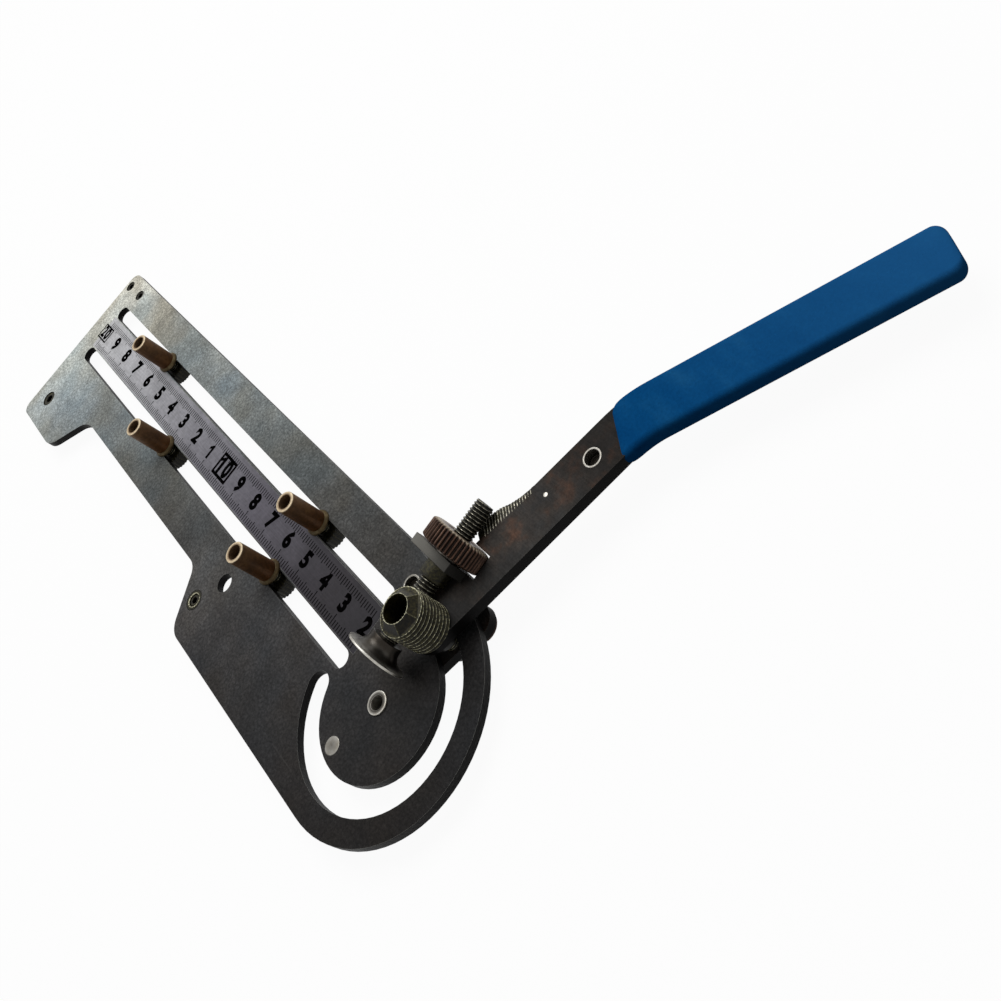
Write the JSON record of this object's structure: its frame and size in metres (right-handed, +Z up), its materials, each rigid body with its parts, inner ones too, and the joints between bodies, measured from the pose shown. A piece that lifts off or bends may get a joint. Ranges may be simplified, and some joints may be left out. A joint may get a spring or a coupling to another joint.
{
  "type": "wire bender",
  "caption": "Flat slotted bench wire bender with a ruled plate, sliding posts, and a bent swing lever that carries a threaded mandrel and a screw-adjusted clamp pad.",
  "frame": {"origin": "on the lever's pivot axis, at the plate's top face", "axes": "+X along the rule towards the far end, +Y towards the lobe and tab, +Z up out of the plate"},
  "size_m": [0.2703, 0.1763, 0.0244],
  "materials": {
    "plate_steel": "zinc-plated sheet steel, dull and tarnished",
    "rule_steel": "etched and printed steel, satin",
    "bright_steel": "turned and polished steel",
    "lever_steel": "flat bar steel with light rust stains",
    "dark_steel": "oily dark threaded steel",
    "bronze": "aged sintered bronze",
    "brown_nut": "browned knurled brass",
    "grip_vinyl": "blue dipped vinyl, satin"
  },
  "bodies": {
    "base": {"base_plate": "plate_steel", "rule_strip": "rule_steel", "pivot_bush": "bright_steel", "disc_plug": "bright_steel", "thread_insert": "dark_steel", "head_dowel": "bright_steel", "lobe_screw": "dark_steel", "tab_screw": "dark_steel", "corner_screw_1": "dark_steel", "corner_screw_2": "dark_steel"},
    "lever": {"lever_bar": "lever_steel", "edge_comb": "lever_steel", "ear_plate": "lever_steel", "dowel_ring": "bright_steel", "lever_pin": "bright_steel", "lever_grip": "grip_vinyl", "mandrel": "dark_steel", "mandrel_stud": "dark_steel", "spacer": "dark_steel", "under_link": "lever_steel", "link_foot": "dark_steel", "stud_nut": "dark_steel", "rod_bush": "dark_steel", "rod_washer": "bright_steel"},
    "rod": {"clamp_rod": "dark_steel", "clamp_pad": "bright_steel"},
    "thumb": {"thumb_nut": "brown_nut"},
    "post_1": {"sleeve_1": "bronze", "foot_1": "bronze", "stud_1": "dark_steel", "nut_1": "dark_steel"},
    "post_2": {"sleeve_2": "bronze", "foot_2": "bronze", "stud_2": "dark_steel", "nut_2": "dark_steel"},
    "post_3": {"sleeve_3": "bronze", "foot_3": "bronze", "stud_3": "dark_steel", "nut_3": "dark_steel"},
    "post_4": {"sleeve_4": "bronze", "foot_4": "bronze", "stud_4": "dark_steel", "nut_4": "dark_steel"}
  },
  "joints": [
    {"name": "lever_swing", "type": "hinge", "parent": "base", "child": "lever", "pos_m": [0, 0, 0], "axis": [0, 0, 1], "range_deg": [-232, 30]},
    {"name": "rod_slide", "type": "slide", "parent": "lever", "child": "rod", "axis": [0, 1, 0], "range_m": [-0.0015, 0.006]},
    {"name": "thumb_turn", "type": "hinge", "parent": "lever", "child": "thumb", "pos_m": [0.0009, -0.036, 0.0083], "axis": [0, 1, 0], "range_deg": [-2750, 700]},
    {"name": "post_1_slide", "type": "slide", "parent": "base", "child": "post_1", "axis": [1, 0, 0], "range_m": [-0.0205, 0.0425]},
    {"name": "post_2_slide", "type": "slide", "parent": "base", "child": "post_2", "axis": [1, 0, 0], "range_m": [-0.0491, 0.0409]},
    {"name": "post_3_slide", "type": "slide", "parent": "base", "child": "post_3", "axis": [1, 0, 0], "range_m": [-0.0241, 0.0299]},
    {"name": "post_4_slide", "type": "slide", "parent": "base", "child": "post_4", "axis": [1, 0, 0], "range_m": [-0.0303, 0.0687]}
  ],
  "couplings": [
    {"joint": "thumb_turn", "follows": "rod_slide", "rad_per_m": -7854}
  ]
}
